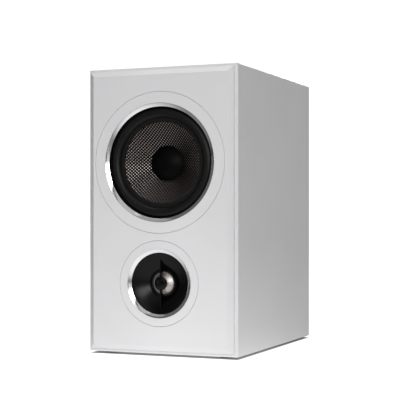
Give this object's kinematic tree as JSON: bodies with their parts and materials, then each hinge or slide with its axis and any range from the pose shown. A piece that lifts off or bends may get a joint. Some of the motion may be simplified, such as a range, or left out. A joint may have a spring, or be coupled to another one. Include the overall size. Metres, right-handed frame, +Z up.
{
  "type": "bookshelf speaker",
  "caption": "White lacquered box loudspeaker with a woven-cone woofer above a horn-loaded dome tweeter, bevelled proud baffle, rear port and binding posts.",
  "frame": {"origin": "floor level under the middle of the width and of the overall depth, knobs included", "axes": "-Y faces the listener, +X is the right-hand side seen from the front, +Z is up"},
  "size_m": [0.222, 0.351, 0.395],
  "materials": {
    "white_lacquer": "satin white lacquer over fibreboard",
    "bare_fibreboard": "raw medium-density fibreboard",
    "felt": "matted polyester felt",
    "foot_rubber": "matte",
    "chrome": "polished",
    "basket_metal": "black powder coat on cast alloy",
    "gasket_foam": "closed-cell foam",
    "black_screws": "black oxide",
    "surround_rubber": "satin butyl rubber",
    "woven_carbon": "plain-woven carbon fibre under clear resin",
    "dust_cap_black": "smooth satin black",
    "bare_aluminium": "thin foil former",
    "enamelled_copper": "enamelled copper wire",
    "spider_cloth": "resin-stiffened corrugated cloth",
    "plated_steel": "zinc plated",
    "ferrite": "sintered ferrite",
    "gold_plated_brass": "gold plated, bright",
    "tinsel_braid": "braided tinsel wire",
    "horn_black": "satin moulded plastic",
    "dome_metal": "titanium-coloured foil",
    "dome_cloth": "doped cloth",
    "port_black": "fine-textured moulded plastic",
    "terminal_black": "fine-textured moulded plastic",
    "knob_red": "tinted clear plastic",
    "knob_black": "tinted plastic",
    "circuit_board": "glass-epoxy board with green solder mask",
    "capacitor_film": "wrapped polyester film",
    "resistor_cement": "cement",
    "cable_sleeve": "soft insulation"
  },
  "bodies": {
    "root": {"front_baffle": "white_lacquer", "left_side_panel": "white_lacquer", "right_side_panel": "white_lacquer", "top_panel": "white_lacquer", "bottom_panel": "white_lacquer", "back_panel": "white_lacquer", "window_brace": "bare_fibreboard", "acoustic_lining": "felt", "rubber_feet": "foot_rubber", "woofer_trim_ring": "white_lacquer", "woofer_chrome_ring": "chrome", "woofer_basket": "basket_metal", "woofer_gasket": "gasket_foam", "woofer_screws": "black_screws", "woofer_surround": "surround_rubber", "woofer_spider": "spider_cloth", "woofer_top_plate": "plated_steel", "woofer_magnet": "ferrite", "woofer_yoke": "plated_steel", "woofer_terminals": "gold_plated_brass", "woofer_tinsel_leads": "tinsel_braid", "tweeter_trim_ring": "white_lacquer", "tweeter_chrome_ring": "chrome", "tweeter_waveguide": "horn_black", "tweeter_phase_plug": "horn_black", "tweeter_dome_surround": "dome_cloth", "tweeter_top_plate": "plated_steel", "tweeter_magnet": "ferrite", "tweeter_yoke": "plated_steel", "tweeter_gasket": "gasket_foam", "tweeter_screws": "black_screws", "tweeter_terminals": "gold_plated_brass", "port_tube": "port_black", "terminal_plate": "terminal_black", "terminal_screws": "plated_steel", "post_studs": "gold_plated_brass", "jumper_straps": "gold_plated_brass", "crossover_board": "circuit_board", "woofer_inductor": "enamelled_copper", "tweeter_inductor": "enamelled_copper", "film_capacitors": "capacitor_film", "power_resistor": "resistor_cement", "crossover_fixings": "plated_steel", "input_leads": "cable_sleeve", "woofer_leads": "cable_sleeve", "tweeter_leads": "cable_sleeve"},
    "woofer_diaphragm": {"woofer_cone": "woven_carbon", "woofer_dust_cap": "dust_cap_black", "woofer_coil_former": "bare_aluminium", "woofer_coil_winding": "enamelled_copper"},
    "tweeter_diaphragm": {"tweeter_dome": "dome_metal", "tweeter_voice_coil": "enamelled_copper"},
    "clamp_red_upper": {"washer_red_upper": "gold_plated_brass"},
    "cap_red_upper": {"knob_red_upper": "knob_red"},
    "clamp_black_upper": {"washer_black_upper": "gold_plated_brass"},
    "cap_black_upper": {"knob_black_upper": "knob_black"},
    "clamp_red_lower": {"washer_red_lower": "gold_plated_brass"},
    "cap_red_lower": {"knob_red_lower": "knob_red"},
    "clamp_black_lower": {"washer_black_lower": "gold_plated_brass"},
    "cap_black_lower": {"knob_black_lower": "knob_black"}
  },
  "joints": [
    {"name": "woofer_excursion", "type": "slide", "parent": "root", "child": "woofer_diaphragm", "axis": [0, -1, 0], "range_m": [-0.006, 0.006], "stiffness_N_per_m": 1200, "deforming": ["woofer_surround", "woofer_spider", "woofer_tinsel_leads"]},
    {"name": "tweeter_excursion", "type": "slide", "parent": "root", "child": "tweeter_diaphragm", "axis": [0, -1, 0], "range_m": [-0.0005, 0.0005], "stiffness_N_per_m": 500, "deforming": ["tweeter_dome_surround"]},
    {"name": "clamp_slide_red_upper", "type": "slide", "parent": "root", "child": "clamp_red_upper", "axis": [0, 1, 0], "range_m": [0, 0.00626]},
    {"name": "knob_turn_red_upper", "type": "hinge", "parent": "clamp_red_upper", "child": "cap_red_upper", "pos_m": [0.00953, 0.1645, 0.112], "axis": [0, 1, 0], "range_deg": [0, 1800]},
    {"name": "clamp_slide_black_upper", "type": "slide", "parent": "root", "child": "clamp_black_upper", "axis": [0, 1, 0], "range_m": [0, 0.00626]},
    {"name": "knob_turn_black_upper", "type": "hinge", "parent": "clamp_black_upper", "child": "cap_black_upper", "pos_m": [-0.00953, 0.1645, 0.112], "axis": [0, 1, 0], "range_deg": [0, 1800]},
    {"name": "clamp_slide_red_lower", "type": "slide", "parent": "root", "child": "clamp_red_lower", "axis": [0, 1, 0], "range_m": [0, 0.00626]},
    {"name": "knob_turn_red_lower", "type": "hinge", "parent": "clamp_red_lower", "child": "cap_red_lower", "pos_m": [0.00953, 0.1645, 0.078], "axis": [0, 1, 0], "range_deg": [0, 1800]},
    {"name": "clamp_slide_black_lower", "type": "slide", "parent": "root", "child": "clamp_black_lower", "axis": [0, 1, 0], "range_m": [0, 0.00626]},
    {"name": "knob_turn_black_lower", "type": "hinge", "parent": "clamp_black_lower", "child": "cap_black_lower", "pos_m": [-0.00953, 0.1645, 0.078], "axis": [0, 1, 0], "range_deg": [0, 1800]}
  ],
  "couplings": [
    {"joint": "clamp_slide_red_upper", "follows": "knob_turn_red_upper", "m_per_rad": 0.00019894},
    {"joint": "clamp_slide_black_upper", "follows": "knob_turn_black_upper", "m_per_rad": 0.00019894},
    {"joint": "clamp_slide_red_lower", "follows": "knob_turn_red_lower", "m_per_rad": 0.00019894},
    {"joint": "clamp_slide_black_lower", "follows": "knob_turn_black_lower", "m_per_rad": 0.00019894}
  ]
}
